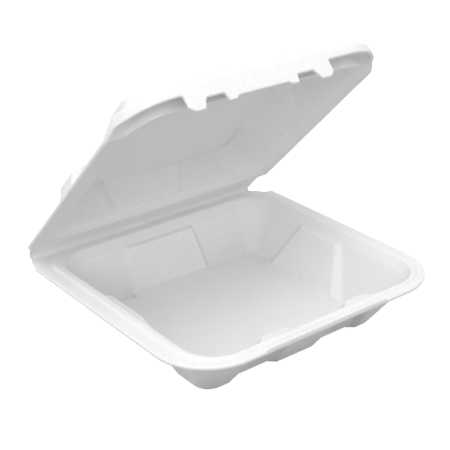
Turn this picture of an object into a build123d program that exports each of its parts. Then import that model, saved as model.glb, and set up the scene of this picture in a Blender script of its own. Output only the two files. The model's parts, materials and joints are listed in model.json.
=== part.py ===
from build123d import *
import os
from math import radians, tan

# Hinged foam takeout container, shown open. One formed sheet of white polystyrene foam makes
# a tray and a lid joined by a pressed fold along the back. The lid is drawn closed and then
# turned about the fold to the angle at which it stands open. The origin is on the surface the
# tray stands on, under the middle of the open box, X to the right, Y to the fold, Z up.

# Sheet and overall size
sheet = 2.8                 # thickness of the foam sheet
rim_width = 232.0           # rim, left to right
rim_depth = 217.0           # tray rim, front edge to the fold
ridge_height = 45.2         # resting surface to the top of the tray's ridge
closed_height = 79.0        # resting surface to the top of the closed lid
rim_corner = 43.0           # radius of the two front corners
fold_corner = 4.0           # radius of the two corners beside the fold
open_angle = 44.5           # how far the lid stands open
origin_back = 3.5           # the origin is this far behind the middle of the rim

# Floor of the tray
floor_width = 160.0
floor_front = 69.5          # middle to the front edge of the floor
floor_back = 77.5           # middle to the back edge of the floor
floor_corner = 12.0
foot_height = 2.6           # how far the feet stand below the rest of the floor
foot_margin = 13.0          # width of the low border outside the raised floor
arm_inset = 1.2             # each arm of the raised floor is this much inside its panel's sides

# Top of the lid
top_width = 160.0
top_front = 70.0
top_back = 82.0

# Rim, measured inward from the outer edge; the front rim is narrower than the others
flange_run = 9.0
ridge_outer = 10.8
ridge_inner = 15.5
mouth_inset = 21.5
front_flange_run = 5.4
front_ridge_outer = 6.4
front_ridge_inner = 8.6
front_mouth_inset = 12.0
edge_below_ridge = 2.4      # outer edge of the flange below the top of the ridge
groove_below_ridge = 1.9    # foot of the ridge below its top
mouth_drop = 6.5            # top of the wall below the top of the ridge

# Recessed wall panels: width and middle at each end, and how far they stand in from the wall
side_panel_top = 38.0
side_panel_bottom = 76.0
side_panel_centre = 7.0     # the side panels lie a little behind the middle
side_panel_top_depth = 4.0
side_panel_bottom_depth = 8.0
lid_panel_rim = 43.0        # side panel of the lid, at the lid's rim
lid_panel_rim_centre = 18.5
lid_panel_top = 73.0        # side panel of the lid, at the lid's top
lid_panel_top_centre = 3.0
back_panel_top = 56.0
back_panel_bottom = 72.0
back_panel_centre = -8.0    # the back panels lie a little left of the middle
back_panel_bottom_depth = 5.0
front_panel_top = 15.0
front_panel_bottom = 36.0
front_panel_top_depth = 7.0
front_panel_bottom_depth = 3.6
front_panel_drop = 3.5      # top of the front panels below the top of the ridge
front_panel_centre = 38.0   # middle of the box to the middle of each front panel

# Ledge on the front of the tray that the lid's lip snaps over
ledge_half = 54.0
ledge_centre = -3.5         # the ledge stands a little left of the middle
ledge_rise = 1.8            # top of the ledge above the outer edge of the flange
ledge_depth = 3.2

# Front of the lid: a raised band round the front corners with a lip hanging from its edge
closing_gap = 0.6           # lid rim above the tray's ridge when closed
lip_clearance = 0.5         # lid lip in front of the tray's front edge
band_lift = 8.5             # raised band above the rest of the lid rim
band_width = 12.0           # outer edge to the inner wall of the raised band
band_reach = 72.0           # middle of the box to where the rim starts to rise to the band
band_run = 17.0             # length over which it rises
skirt_lift = 4.0            # lower edge of the skirt at the corners above the lid rim
skirt_run = 9.0             # length over which the skirt's lower edge rises
lid_front_slope = 4.0       # how far the lid's front wall leans in over its top part
lip_half = 61.0             # half the width of the deeper middle lip
lip_centre = -10.0          # the lip stands left of the middle
lip_drop = 4.8              # lower edge of the middle lip below the lid rim
inner_tooth_drop = 6.8      # lower edge of the two small teeth below the lid rim
outer_tooth_drop = 8.6      # lower edge of the two large teeth below the lid rim
inner_tooth_in = 23.0       # near and far sides of the teeth from the middle of the lip
inner_tooth_out = 29.0
outer_tooth_in = 45.0
arch_rise = 0.8             # top of the slots between the teeth below the lid rim
tooth_splay = 1.5           # slant of the small teeth's sides, top to bottom
outer_tooth_splay = 5.0     # slant of the large teeth's sides

# Fold
fold_height = 42.0          # resting surface to the line the lid turns about
fold_gap = 0.25             # each part stops this far short of the fold
fold_face_gap = 0.3         # pressed face of each part above or below the fold line
press_run = 11.0            # width of the pressed strip on each side of the fold
notch_left = 5.0            # how far the fold stops short of the left side
notch_right = 17.0          # how far the fold stops short of the right side
notch_share = 0.55          # share of each notch that is cut straight in at its front end
notch_depth = 14.0          # length of each notch along the side

half_width = rim_width / 2
half_depth = rim_depth / 2
lid_seat = ridge_height + closing_gap
lid_depth = closed_height - lid_seat
lid_front = half_depth + lip_clearance + sheet


def rounded(x_half, y_front, y_back, z, front_radius, back_radius):
    """A rectangle at height z with its own corner radii at the front and the back."""
    outline = Pos(0, (y_back - y_front) / 2) * Rectangle(2 * x_half, y_front + y_back)
    outline = fillet(outline.vertices().group_by(Axis.Y)[0], front_radius)
    outline = fillet(outline.vertices().group_by(Axis.Y)[-1], back_radius)
    return Pos(0, 0, z) * outline


def rim_line(inset, front_inset, back_inset, z, back_radius, front=half_depth):
    """The rim's outline moved inward, by its own amount at the sides, the front and the back."""
    radius = rim_corner - max(inset, front_inset)
    half = half_width - inset
    return rounded(half, front - front_inset, half_depth - back_inset, z, radius, back_radius)


def base_line(base, inset, z, radius):
    """The outline of the floor or of the lid's top, moved inward by inset."""
    width, front, back = base
    return rounded(width / 2 - inset, front - inset, back - inset, z, radius, radius)


def panel(half_span, low, high, turn):
    """The space of a recessed panel; each end gives its middle, width, inset and height."""
    faces = []
    for centre, width, inset, z in (low, high):
        inner = width / 2
        outer = inner + inset
        corners = [(centre - outer, -half_span), (centre + outer, -half_span)]
        corners += [(centre + inner, inset - half_span), (centre - inner, inset - half_span)]
        faces.append(Pos(0, 0, z) * make_face(Polyline(*corners, close=True)))
    return Rot(0, 0, turn) * loft(faces, ruled=True)


def panels(base, side_shape, back_centre, depth, skin):
    """The five recessed panels of a box; skin is 0 for its outside and the sheet for its inside."""
    width, front, back = base
    low_centre, low_width, high_centre, high_width = side_shape
    spread = 2 * skin * tan(radians(22.5))
    low = -1.0 if skin else -0.5
    high = depth - mouth_drop - sheet + skin
    wall = mouth_inset - sheet + side_panel_top_depth + skin
    side_inset = half_width - width / 2 + side_panel_bottom_depth + skin
    spaces = []
    for side in (-1, 1):
        side_low = (side * low_centre, low_width + spread, side_inset, low)
        side_high = (side * high_centre, high_width + spread, wall, high)
        spaces.append(panel(half_width, side_low, side_high, side * 90))
    back_inset = half_depth - back + back_panel_bottom_depth + skin
    back_low = (back_centre, back_panel_bottom + spread, back_inset, low)
    back_high = (back_centre, back_panel_top + spread, wall, high)
    spaces.append(panel(half_depth, back_low, back_high, 180))
    front_z = depth - front_panel_drop - sheet + skin
    front_wall = front_mouth_inset - sheet + front_panel_top_depth + skin
    front_inset = half_depth - front + front_panel_bottom_depth + skin
    for side in (-1, 1):
        centre = side * front_panel_centre
        front_low = (centre, front_panel_bottom + spread, front_inset, low)
        front_high = (centre, front_panel_top + spread, front_wall, front_z)
        spaces.append(panel(half_depth, front_low, front_high, 0))
    return spaces


def raised_floor(base, side_shape, back_centre, skin):
    """The part of the floor that stands above the feet, with arms out to each panel."""
    width, front, back = base
    side_centre, side_width = side_shape[:2]
    trim = 2 * (skin + arm_inset)
    side_length = side_width - trim
    back_length = back_panel_bottom - trim
    front_length = front_panel_bottom - trim
    inset = foot_margin + skin
    middle = extrude(base_line(base, inset, 0, floor_corner / 2), foot_height)
    arm = inset + 1
    for side in (-1, 1):
        centre_x = side * (width / 2 - arm / 2)
        middle += Pos(centre_x, side_centre, foot_height / 2) * Box(arm, side_length, foot_height)
        centre_x = side * front_panel_centre
        middle += Pos(centre_x, arm / 2 - front, foot_height / 2) * Box(front_length, arm, foot_height)
    middle += Pos(-back_centre, back - arm / 2, foot_height / 2) * Box(back_length, arm, foot_height)
    return middle


def bowl(base, side_shape, back_centre, depth, wall_top, mouth, crest):
    """The outside and the hollow of a box, from its base up to its wall top, mouth and crest."""
    outside = loft([base_line(base, 0, 0, floor_corner), wall_top], ruled=True)
    for space in panels(base, side_shape, back_centre, depth, 0):
        outside -= space
    floor = base_line(base, sheet * 0.8, sheet, floor_corner - sheet * 0.8)
    inside = loft([floor, mouth], ruled=True) + loft([mouth, crest], ruled=True)
    for space in panels(base, side_shape, back_centre, depth, sheet):
        inside -= space
    outside -= raised_floor(base, side_shape, back_centre, 0)
    inside -= Pos(0, 0, sheet) * raised_floor(base, side_shape, back_centre, -sheet / 2)
    return outside, inside


def make_tray():
    """The tray: a bowl with a stepped rim, a ledge on its front and a pressed back edge."""
    base = (floor_width, floor_front, floor_back)
    wall_z = ridge_height - mouth_drop
    edge_z = ridge_height - edge_below_ridge
    groove_z = ridge_height - groove_below_ridge
    out = sheet * 1.1
    inner_corner = rim_corner - mouth_inset
    wall_inset = mouth_inset - out
    front_wall_inset = front_mouth_inset - out
    wall_top = rim_line(wall_inset, front_wall_inset, wall_inset, wall_z, inner_corner + out)
    mouth = rim_line(mouth_inset, front_mouth_inset, mouth_inset, wall_z, inner_corner)
    crest_corner = rim_corner - ridge_inner
    crest = rim_line(ridge_inner, front_ridge_inner, ridge_inner, ridge_height, crest_corner)
    side_shape = (side_panel_centre, side_panel_bottom, side_panel_centre, side_panel_top)
    centre = -back_panel_centre
    outside, inside = bowl(base, side_shape, centre, ridge_height, wall_top, mouth, crest)

    edge = rim_line(0, 0, 0, edge_z, fold_corner)
    groove = rim_line(flange_run, front_flange_run, flange_run, groove_z, fold_corner)
    ridge_foot = rim_line(flange_run, front_flange_run, flange_run, groove_z, inner_corner)
    ridge_top = rim_line(ridge_outer, front_ridge_outer, ridge_outer, ridge_height, inner_corner)
    rim = extrude(Pos(0, 0, -sheet) * edge, sheet)
    rim += loft([edge, groove], ruled=True)
    rim += loft([ridge_foot, ridge_top], ruled=True)
    neck = extrude(wall_top, edge_z - sheet - wall_z)
    ledge_z = edge_z + ledge_rise - sheet / 2
    ledge_y = ledge_depth / 2 - half_depth
    ledge = Pos(ledge_centre, ledge_y, ledge_z) * Box(2 * ledge_half, ledge_depth, sheet)
    tray = outside + neck + rim + ledge - inside

    pressed = [(0, half_depth, fold_height - fold_face_gap)]
    pressed += [(0, half_depth - press_run, ridge_height), (0, half_depth, ridge_height)]
    tray -= extrude(make_face(Polyline(*pressed, close=True)), rim_width, both=True)
    return cut_fold(tray)


def cut_fold(part):
    """Trim a part short of the fold and notch its two back corners."""
    tall = 3 * closed_height
    part -= Pos(0, half_depth - fold_gap + 10, 0) * Box(2 * rim_width, 20, tall)
    for side, notch in ((-1, notch_left), (1, notch_right)):
        step_x = half_width - notch * notch_share
        tip_x = half_width - notch
        points = [(half_width + 5, half_depth - notch_depth), (step_x, half_depth - notch_depth)]
        points += [(step_x, half_depth - notch_depth + 3), (tip_x, half_depth), (tip_x, half_depth + 5)]
        points += [(half_width + 5, half_depth + 5)]
        outline = make_face(Polyline(*[(side * x, y) for x, y in points], close=True))
        part -= Pos(0, 0, -tall / 2) * extrude(outline, tall, dir=(0, 0, 1))
    return part


def ring(inset, bottom, height):
    """The block inside the lid's outer edge moved inward by inset."""
    outline = rim_line(inset, inset, inset, bottom, fold_corner, lid_front)
    return extrude(outline, height)


def ahead_of(points):
    """All that lies in front of a line of side-view points, across the whole width."""
    ends = [(-2 * rim_depth, points[-1][1]), (-2 * rim_depth, points[0][1])]
    side_view = [(0, y, z) for y, z in points + ends]
    return extrude(make_face(Polyline(*side_view, close=True)), 2 * rim_width, both=True)


def lip_cuts(low):
    """What is cut from the lid's lip: the slots beside the teeth and the room below the lip."""
    small_low = lid_seat - inner_tooth_drop
    lip_z = lid_seat - lip_drop
    arch_z = lid_seat - arch_rise
    near = inner_tooth_in - tooth_splay
    middle = [(-inner_tooth_in, small_low), (-near, lip_z), (near, lip_z), (inner_tooth_in, small_low)]
    under = [(-outer_tooth_in, low), (-outer_tooth_in, small_low)]
    under += [(outer_tooth_in, small_low), (outer_tooth_in, low)]
    cuts = [middle, under]
    for side in (-1, 1):
        arch = [(inner_tooth_out, small_low), (inner_tooth_out + tooth_splay, arch_z)]
        arch += [(outer_tooth_in, arch_z), (outer_tooth_in + outer_tooth_splay, low)]
        arch += [(inner_tooth_out, low)]
        end = [(lip_half + 1, lip_z), (lip_half, lip_z), (lip_half - outer_tooth_splay, low)]
        end += [(lip_half + 1, low)]
        cuts += [[(side * x, z) for x, z in points] for points in (arch, end)]
    return cuts


def make_lid():
    """The lid, drawn closed and then turned open: a bowl upside down, a raised band and a lip."""
    base = (top_width, top_front, top_back)
    out = sheet * 1.1
    inner_corner = rim_corner - mouth_inset
    wall_z = lid_depth - mouth_drop + sheet
    wall_inset = mouth_inset - out
    mouth_front = front_mouth_inset + lid_front_slope
    wall_top = rim_line(wall_inset, mouth_front - out, wall_inset, wall_z, inner_corner + out)
    mouth = rim_line(mouth_inset, mouth_front, mouth_inset, wall_z, inner_corner)
    crest = rim_line(ridge_inner, front_mouth_inset, ridge_inner, lid_depth, inner_corner)
    side_shape = (lid_panel_top_centre, lid_panel_top, lid_panel_rim_centre, lid_panel_rim)
    outside, inside = bowl(base, side_shape, back_panel_centre, lid_depth, wall_top, mouth, crest)
    inset = ridge_inner - out
    top = rim_line(inset, front_mouth_inset - out, inset, lid_depth, inner_corner + out)
    outside += loft([wall_top, top], ruled=True)
    upright = Pos(0, 0, closed_height) * Rot(0, 180, 0)
    outside = upright * outside
    inside = upright * inside

    rim = extrude(rim_line(0, 0, 0, lid_seat, fold_corner, lid_front), sheet)
    band_top = lid_seat + band_lift + sheet
    lip_low = lid_seat - outer_tooth_drop
    tall = band_top - lip_low
    rise = band_run * (closed_height - lid_seat) / (band_lift + sheet)
    slope_low = (rise - band_reach, 2 * lid_seat - closed_height)
    front_zone = ahead_of([slope_low, (-rise - band_reach, closed_height)])
    band = (ring(0, lip_low, tall) - ring(band_width + sheet, lid_seat + sheet, tall)) & front_zone
    band_room = ring(sheet, lip_low, tall - sheet) - ring(band_width, lip_low, tall)
    band_room = band_room & (Pos(0, -2 * sheet, 0) * front_zone)
    below_seat = ring(band_width, lip_low, lid_seat - lip_low)
    lid = outside + rim + band - band_room - below_seat - inside

    skirt_low = lid_seat + skirt_lift
    skirt_back = -band_reach - 2 * sheet
    skirt_line = [(skirt_back, lip_low - 1), (skirt_back, lid_seat), (skirt_back - skirt_run, skirt_low)]
    skirt_zone = ahead_of(skirt_line)
    middle_lip = Pos(lip_centre, -lid_front, lid_seat) * Box(2 * lip_half, 8 * sheet, 4 * outer_tooth_drop)
    lid -= skirt_zone - ring(band_width, lip_low - tall, 3 * tall) - middle_lip
    lid -= Pos(0, 50 + skirt_back, lip_low) * Box(2 * rim_width, 100, 2 * (lid_seat - lip_low))
    for points in lip_cuts(lip_low - 1):
        outline = [(lip_centre + x, -lid_front, z) for x, z in points]
        lid -= extrude(make_face(Polyline(*outline, close=True)), 4 * sheet, both=True)

    fold_z = fold_height + fold_face_gap
    press_start = half_depth - press_run
    pressed = [(0, half_depth, fold_z), (0, half_depth, fold_z + sheet)]
    pressed += [(0, press_start, lid_seat + sheet), (0, press_start, lid_seat)]
    strip = extrude(make_face(Polyline(*pressed, close=True)), half_width, both=True)
    flat = Pos(0, half_depth - press_run / 2 + 10, lid_seat + sheet / 2)
    flat = flat * Box(2 * rim_width, press_run + 20, sheet + 2)
    lid = cut_fold(lid - (flat - strip) + strip)
    hinge = Pos(0, half_depth, fold_height)
    return hinge * Rot(-open_angle, 0, 0) * hinge.inverse() * lid


to_origin = Pos(0, -origin_back, 0)
tray = to_origin * make_tray()
lid = to_origin * make_lid()
os.makedirs("parts", exist_ok=True)
export_step(tray, "parts/tray.step")
export_step(lid, "parts/lid.step")
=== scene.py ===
"""A hinged foam takeout container dressed over its CAD frame, laid out as a Blender add-on."""

import json
from math import cos, radians, sin

import bmesh
import bpy
from bpy.props import FloatProperty, FloatVectorProperty, PointerProperty
from mathutils import Matrix, Vector


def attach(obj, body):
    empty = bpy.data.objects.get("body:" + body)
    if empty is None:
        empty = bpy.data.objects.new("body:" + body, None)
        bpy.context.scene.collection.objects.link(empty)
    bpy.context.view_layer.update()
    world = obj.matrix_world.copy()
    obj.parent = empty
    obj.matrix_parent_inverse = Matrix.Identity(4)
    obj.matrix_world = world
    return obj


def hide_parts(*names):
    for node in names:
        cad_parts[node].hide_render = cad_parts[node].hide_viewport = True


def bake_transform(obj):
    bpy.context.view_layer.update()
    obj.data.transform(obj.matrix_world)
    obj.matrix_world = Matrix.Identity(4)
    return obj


bl_info = {
    "name": "Foam Takeout Container",
    "version": (1, 0, 0),
    "blender": (4, 5, 0),
    "location": "View3D > Sidebar > Foam Box",
    "description": "Soft-edged foam shells, their pressed fold, a foam finish and a plain pale stage",
    "category": "Object",
}

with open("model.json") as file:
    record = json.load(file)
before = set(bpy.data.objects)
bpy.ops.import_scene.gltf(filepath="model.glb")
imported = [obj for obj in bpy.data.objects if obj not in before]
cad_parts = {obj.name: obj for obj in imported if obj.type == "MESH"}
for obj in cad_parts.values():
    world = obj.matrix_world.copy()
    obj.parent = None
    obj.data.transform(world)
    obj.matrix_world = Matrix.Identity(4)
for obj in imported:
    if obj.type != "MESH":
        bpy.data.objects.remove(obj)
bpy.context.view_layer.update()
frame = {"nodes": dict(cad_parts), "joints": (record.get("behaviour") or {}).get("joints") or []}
fold_line = Vector(frame["joints"][0]["pos_m"])

WELD_DISTANCE = 0.000002
FOLD_STEPS_ALONG = 60
FOLD_STEPS_ACROSS = 16
LAMP_TARGET = (0, 0, 0.06)
OVERHEAD_LAMP_AT = (-0.25, -0.35, 1.3)
OVERHEAD_LAMP_SIZE = 0.7
FRONT_LAMP_AT = (-1.3, -0.7, 0.75)
FRONT_LAMP_SIZE = 0.6
FLOOR_SIZE = 6.0
FLOOR_GLOW = 0.9


class FoamShellSettings(bpy.types.PropertyGroup):
    """Sizes and colour of the two foam shells."""

    cell: FloatProperty(
        name="Mesh cell", description="Spacing of the remeshed foam surface", default=0.0009, unit="LENGTH"
    )
    soften: FloatProperty(
        name="Softening", description="How strongly sharp corners are rounded over", default=0.5,
        subtype="FACTOR",
    )
    keep: FloatProperty(
        name="Faces kept", description="Share of the remeshed faces that are kept", default=0.42,
        subtype="FACTOR",
    )
    colour: FloatVectorProperty(
        name="Foam colour", description="Colour of the white foam", default=(0.86, 0.86, 0.865), size=3,
        subtype="COLOR",
    )
    roughness: FloatProperty(
        name="Roughness", description="How matte the foam skin is", default=0.48, subtype="FACTOR"
    )


class FoldSettings(bpy.types.PropertyGroup):
    """Sizes of the pressed fold between the tray and the lid."""

    left_end: FloatProperty(
        name="Left end", description="Where the fold stops at the left", default=-0.1108, unit="LENGTH"
    )
    right_end: FloatProperty(
        name="Right end", description="Where the fold stops at the right", default=0.0988, unit="LENGTH"
    )
    reach: FloatProperty(
        name="Reach", description="How far the fold runs onto each shell", default=0.009, unit="LENGTH"
    )
    opening: FloatProperty(
        name="Opening", description="Angle between the tray and the lid", default=radians(44.5),
        subtype="ANGLE",
    )
    tray_slope: FloatProperty(
        name="Tray slope", description="Slope from the fold to the tray's flange", default=radians(8.2),
        subtype="ANGLE",
    )
    lid_slope: FloatProperty(
        name="Lid slope", description="Slope of the lid's pressed face when closed", default=radians(16.7),
        subtype="ANGLE",
    )
    sink: FloatProperty(
        name="Sink", description="How deep the strip's long edges lie in each shell", default=0.0008,
        unit="LENGTH",
    )
    thickness: FloatProperty(
        name="Thickness", description="Thickness of the foam in the fold", default=0.0026, unit="LENGTH"
    )


class StageSettings(bpy.types.PropertyGroup):
    """The camera, the lamps and the floor."""

    camera_at: FloatVectorProperty(
        name="Camera", description="Place of the camera", default=(-0.4462, -0.5793, 0.4142), size=3,
        subtype="TRANSLATION",
    )
    camera_forward: FloatVectorProperty(
        name="View direction", description="Where the camera looks", default=(0.5502, 0.7218, -0.4199), size=3
    )
    camera_up: FloatVectorProperty(
        name="View up", description="The camera's upward direction", default=(0.2691, 0.3228, 0.9074), size=3
    )
    lens: FloatProperty(
        name="Lens", description="Focal length in millimetres on a 36 mm sensor", default=87.73
    )
    overhead_power: FloatProperty(
        name="Overhead lamp", description="Power of the large lamp above the box", default=4.9, unit="POWER"
    )
    front_power: FloatProperty(
        name="Front lamp", description="Power of the soft lamp at the front left", default=3.1, unit="POWER"
    )
    ambient: FloatProperty(
        name="Ambient", description="Strength of the even light all round", default=0.86
    )
    floor_colour: FloatVectorProperty(
        name="Floor colour", description="Colour of the plain floor", default=(0.38, 0.38, 0.38), size=3,
        subtype="COLOR",
    )


def link(obj):
    bpy.context.collection.objects.link(obj)
    return obj


def foam_grain_group():
    """Fine beaded foam skin: a mottled shade and a height."""
    found = bpy.data.node_groups.get("foam_grain")
    if found:
        return found
    group = bpy.data.node_groups.new("foam_grain", "ShaderNodeTree")
    face = group.interface
    face.new_socket("Vector", in_out="INPUT", socket_type="NodeSocketVector")
    bead = face.new_socket("Bead Scale", in_out="INPUT", socket_type="NodeSocketFloat")
    bead.default_value = 900.0
    mottle = face.new_socket("Mottle Scale", in_out="INPUT", socket_type="NodeSocketFloat")
    mottle.default_value = 900.0
    face.new_socket("Shade", in_out="OUTPUT", socket_type="NodeSocketFloat")
    face.new_socket("Height", in_out="OUTPUT", socket_type="NodeSocketFloat")
    nodes, links = group.nodes, group.links
    enter = nodes.new("NodeGroupInput")
    leave = nodes.new("NodeGroupOutput")

    beads = nodes.new("ShaderNodeTexVoronoi")
    beads.feature = "SMOOTH_F1"
    beads.inputs["Smoothness"].default_value = 0.6
    links.new(enter.outputs["Vector"], beads.inputs["Vector"])
    links.new(enter.outputs["Bead Scale"], beads.inputs["Scale"])

    cloud = nodes.new("ShaderNodeTexNoise")
    cloud.inputs["Detail"].default_value = 3.0
    cloud.inputs["Roughness"].default_value = 0.65
    links.new(enter.outputs["Vector"], cloud.inputs["Vector"])
    links.new(enter.outputs["Mottle Scale"], cloud.inputs["Scale"])

    broad = nodes.new("ShaderNodeTexNoise")
    broad.inputs["Scale"].default_value = 55.0
    broad.inputs["Detail"].default_value = 2.0
    links.new(enter.outputs["Vector"], broad.inputs["Vector"])

    shade = nodes.new("ShaderNodeMix")
    shade.data_type = "FLOAT"
    shade.inputs["Factor"].default_value = 0.12
    links.new(cloud.outputs["Fac"], shade.inputs["A"])
    links.new(broad.outputs["Fac"], shade.inputs["B"])
    links.new(shade.outputs["Result"], leave.inputs["Shade"])

    height = nodes.new("ShaderNodeMath")
    height.operation = "ADD"
    links.new(beads.outputs["Distance"], height.inputs[0])
    links.new(cloud.outputs["Fac"], height.inputs[1])
    links.new(height.outputs["Value"], leave.inputs["Height"])
    return group


def foam_material(name, colour, roughness):
    """Matte white foam with a faint mottle and a beaded skin."""
    material = bpy.data.materials.new(name)
    material.use_nodes = True
    nodes, links = material.node_tree.nodes, material.node_tree.links
    shader = nodes["Principled BSDF"]
    shader.inputs["Specular IOR Level"].default_value = 0.3
    shader.inputs["Subsurface Weight"].default_value = 0.5
    shader.inputs["Subsurface Radius"].default_value = (1.0, 1.0, 1.0)
    shader.inputs["Subsurface Scale"].default_value = 0.0015
    place = nodes.new("ShaderNodeTexCoord")
    grain = nodes.new("ShaderNodeGroup")
    grain.node_tree = foam_grain_group()
    links.new(place.outputs["Object"], grain.inputs["Vector"])

    tint = nodes.new("ShaderNodeValToRGB")
    tint.color_ramp.elements[0].position = 0.32
    tint.color_ramp.elements[0].color = (*[c * 0.93 for c in colour], 1)
    tint.color_ramp.elements[1].position = 0.68
    tint.color_ramp.elements[1].color = (*[min(1, c * 1.03) for c in colour], 1)
    links.new(grain.outputs["Shade"], tint.inputs["Fac"])
    links.new(tint.outputs["Color"], shader.inputs["Base Color"])

    gloss = nodes.new("ShaderNodeMapRange")
    gloss.inputs["To Min"].default_value = roughness - 0.06
    gloss.inputs["To Max"].default_value = roughness + 0.1
    links.new(grain.outputs["Shade"], gloss.inputs["Value"])
    links.new(gloss.outputs["Result"], shader.inputs["Roughness"])

    bump = nodes.new("ShaderNodeBump")
    bump.inputs["Strength"].default_value = 0.35
    bump.inputs["Distance"].default_value = 0.0002
    links.new(grain.outputs["Height"], bump.inputs["Height"])
    links.new(bump.outputs["Normal"], shader.inputs["Normal"])
    return material


def soft_shell(node, name, cell, soften, keep):
    """A copy of a CAD shell with its edges rounded over, as heat-formed foam has them."""
    mesh = frame["nodes"][node].data.copy()
    shell = bmesh.new()
    shell.from_mesh(mesh)
    bmesh.ops.remove_doubles(shell, verts=shell.verts, dist=WELD_DISTANCE)
    shell.to_mesh(mesh)
    shell.free()
    mesh.materials.clear()
    piece = link(bpy.data.objects.new(name, mesh))
    remesh = piece.modifiers.new("Foam cells", "REMESH")
    remesh.mode = "VOXEL"
    remesh.voxel_size = cell
    smooth = piece.modifiers.new("Round over", "SMOOTH")
    smooth.factor = soften
    smooth.iterations = 1
    thin = piece.modifiers.new("Fewer faces", "DECIMATE")
    thin.ratio = keep
    bpy.context.view_layer.update()
    ready = piece.evaluated_get(bpy.context.evaluated_depsgraph_get())
    formed = bpy.data.meshes.new_from_object(ready)
    piece.modifiers.clear()
    piece.data = formed
    formed.name = name
    formed.shade_smooth()
    return piece


class FOAMBOX_OT_shells(bpy.types.Operator):
    """Build the foam tray and the foam lid over their CAD shells"""

    bl_idname = "foambox.shells"
    bl_label = "Foam Shells"

    def execute(self, context):
        sizes = context.scene.foam_shell
        foam = foam_material("white_foam", sizes.colour, sizes.roughness)
        for node in ("tray", "lid"):
            piece = soft_shell(node, f"{node}_foam", sizes.cell, sizes.soften, sizes.keep)
            piece.data.materials.append(foam)
            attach(piece, node)
            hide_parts(node)
        return {"FINISHED"}


class FOAMBOX_OT_fold(bpy.types.Operator):
    """Build the crushed strip of foam that joins the two shells"""

    bl_idname = "foambox.fold"
    bl_label = "Pressed Fold"

    def execute(self, context):
        sizes = context.scene.fold
        tray_slope = sizes.tray_slope
        lid_slope = sizes.lid_slope + sizes.opening
        tray_way = Vector((0, -cos(tray_slope), sin(tray_slope)))
        lid_way = Vector((0, -cos(lid_slope), sin(lid_slope)))
        tray_edge = tray_way * sizes.reach - Vector((0, sin(tray_slope), cos(tray_slope))) * sizes.sink
        lid_edge = lid_way * sizes.reach + Vector((0, sin(lid_slope), cos(lid_slope))) * sizes.sink
        strip = bmesh.new()
        bmesh.ops.create_grid(strip, x_segments=FOLD_STEPS_ALONG, y_segments=FOLD_STEPS_ACROSS, size=1.0)
        for vert in strip.verts:
            along = (vert.co.x + 1) / 2
            across = (vert.co.y + 1) / 2
            place = sizes.left_end * (1 - along) + sizes.right_end * along
            curve = tray_edge * (1 - across) ** 2 + lid_edge * across**2
            vert.co = fold_line + curve + Vector((place, 0, 0))
        behind = bmesh.ops.extrude_face_region(strip, geom=strip.faces[:])
        moved = [part for part in behind["geom"] if isinstance(part, bmesh.types.BMVert)]
        away = -(tray_way + lid_way).normalized() * sizes.thickness
        bmesh.ops.translate(strip, verts=moved, vec=away)
        bmesh.ops.recalc_face_normals(strip, faces=strip.faces)
        mesh = bpy.data.meshes.new("fold_foam")
        strip.to_mesh(mesh)
        strip.free()
        mesh.shade_smooth()
        piece = link(bpy.data.objects.new("fold_foam", mesh))
        mesh.materials.append(bpy.data.materials["white_foam"])
        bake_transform(piece)
        return {"FINISHED"}


def white_for_camera(tree, strength):
    """Adds plain white for rays that look straight at the background, and leaves the lighting alone."""
    nodes, links = tree.nodes, tree.links
    rays = nodes.new("ShaderNodeLightPath")
    glossy = nodes.new("ShaderNodeMath")
    glossy.operation = "MAXIMUM"
    links.new(rays.outputs["Is Camera Ray"], glossy.inputs[0])
    links.new(rays.outputs["Is Glossy Ray"], glossy.inputs[1])
    seen = nodes.new("ShaderNodeMath")
    seen.operation = "MAXIMUM"
    links.new(glossy.outputs["Value"], seen.inputs[0])
    links.new(rays.outputs["Is Transmission Ray"], seen.inputs[1])
    share = nodes.new("ShaderNodeMath")
    share.operation = "MULTIPLY"
    share.inputs[1].default_value = strength
    links.new(seen.outputs["Value"], share.inputs[0])
    return share.outputs["Value"]


def area_lamp(name, at, size, power):
    """A soft round lamp that faces the middle of the box."""
    lamp = bpy.data.lights.new(name, "AREA")
    lamp.shape = "DISK"
    lamp.size = size
    lamp.energy = power
    obj = link(bpy.data.objects.new(name, lamp))
    obj.location = at
    obj.rotation_euler = (Vector(LAMP_TARGET) - Vector(at)).to_track_quat("-Z", "Y").to_euler()
    return obj


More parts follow.
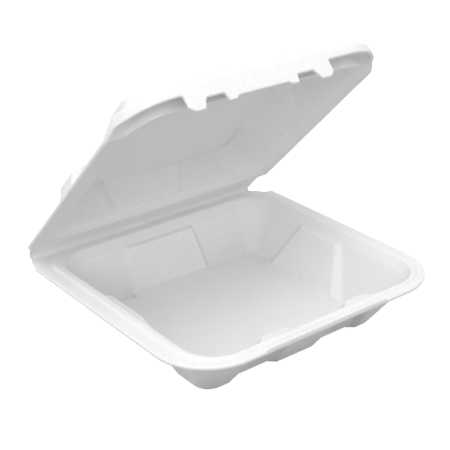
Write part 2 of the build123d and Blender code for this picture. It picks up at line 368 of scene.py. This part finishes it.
class FOAMBOX_OT_stage(bpy.types.Operator):
    """Set up the camera, the soft lamps, the floor and the pale background"""

    bl_idname = "foambox.stage"
    bl_label = "Stage"

    def execute(self, context):
        sizes = context.scene.stage
        scene = context.scene
        scene.view_settings.view_transform = "Standard"
        camera = bpy.data.cameras.new("camera")
        camera.sensor_width = 36.0
        camera.lens = sizes.lens
        camera.clip_start = 0.01
        view = link(bpy.data.objects.new("camera", camera))
        forward = Vector(sizes.camera_forward).normalized()
        right = forward.cross(Vector(sizes.camera_up)).normalized()
        up = right.cross(forward)
        turn = Matrix((right, up, -forward)).transposed().to_4x4()
        view.matrix_world = Matrix.Translation(Vector(sizes.camera_at)) @ turn
        scene.camera = view

        area_lamp("overhead_lamp", OVERHEAD_LAMP_AT, OVERHEAD_LAMP_SIZE, sizes.overhead_power)
        area_lamp("front_lamp", FRONT_LAMP_AT, FRONT_LAMP_SIZE, sizes.front_power)

        world = bpy.data.worlds.new("pale_room")
        world.use_nodes = True
        scene.world = world
        sky = world.node_tree.nodes["Background"]
        sky.inputs["Color"].default_value = (1, 1, 1, 1)
        strength = world.node_tree.nodes.new("ShaderNodeMapRange")
        strength.inputs["To Min"].default_value = sizes.ambient
        strength.inputs["To Max"].default_value = 1.0
        seen = white_for_camera(world.node_tree, 1.0)
        world.node_tree.links.new(seen, strength.inputs["Value"])
        world.node_tree.links.new(strength.outputs["Result"], sky.inputs["Strength"])

        plane = bmesh.new()
        bmesh.ops.create_grid(plane, x_segments=1, y_segments=1, size=FLOOR_SIZE)
        mesh = bpy.data.meshes.new("floor")
        plane.to_mesh(mesh)
        plane.free()
        floor = link(bpy.data.objects.new("floor", mesh))
        material = bpy.data.materials.new("pale_floor")
        material.use_nodes = True
        tree = material.node_tree
        shader = tree.nodes["Principled BSDF"]
        shader.inputs["Base Color"].default_value = (*sizes.floor_colour, 1)
        shader.inputs["Roughness"].default_value = 0.9
        shader.inputs["Specular IOR Level"].default_value = 0.1
        shader.inputs["Emission Color"].default_value = (1, 1, 1, 1)
        seen = white_for_camera(tree, FLOOR_GLOW)
        tree.links.new(seen, shader.inputs["Emission Strength"])
        mesh.materials.append(material)
        return {"FINISHED"}


class FOAMBOX_PT_panel(bpy.types.Panel):
    """Lists the pieces of the foam box"""

    bl_idname = "FOAMBOX_PT_panel"
    bl_label = "Foam Box"
    bl_space_type = "VIEW_3D"
    bl_region_type = "UI"
    bl_category = "Foam Box"

    def draw(self, context):
        for group, operator in (("foam_shell", "shells"), ("fold", "fold"), ("stage", "stage")):
            box = self.layout.box()
            settings = getattr(context.scene, group)
            for name in settings.__annotations__:
                box.prop(settings, name)
            box.operator(f"foambox.{operator}")


SETTINGS = {"foam_shell": FoamShellSettings, "fold": FoldSettings, "stage": StageSettings}
CLASSES = (*SETTINGS.values(), FOAMBOX_OT_shells, FOAMBOX_OT_fold, FOAMBOX_OT_stage, FOAMBOX_PT_panel)


def register():
    for cls in CLASSES:
        bpy.utils.register_class(cls)
    for name, cls in SETTINGS.items():
        setattr(bpy.types.Scene, name, PointerProperty(type=cls))


def unregister():
    for name in SETTINGS:
        delattr(bpy.types.Scene, name)
    for cls in reversed(CLASSES):
        bpy.utils.unregister_class(cls)


def main():
    register()
    bpy.ops.foambox.shells()
    bpy.ops.foambox.fold()
    bpy.ops.foambox.stage()


if __name__ == "__main__":
    main()
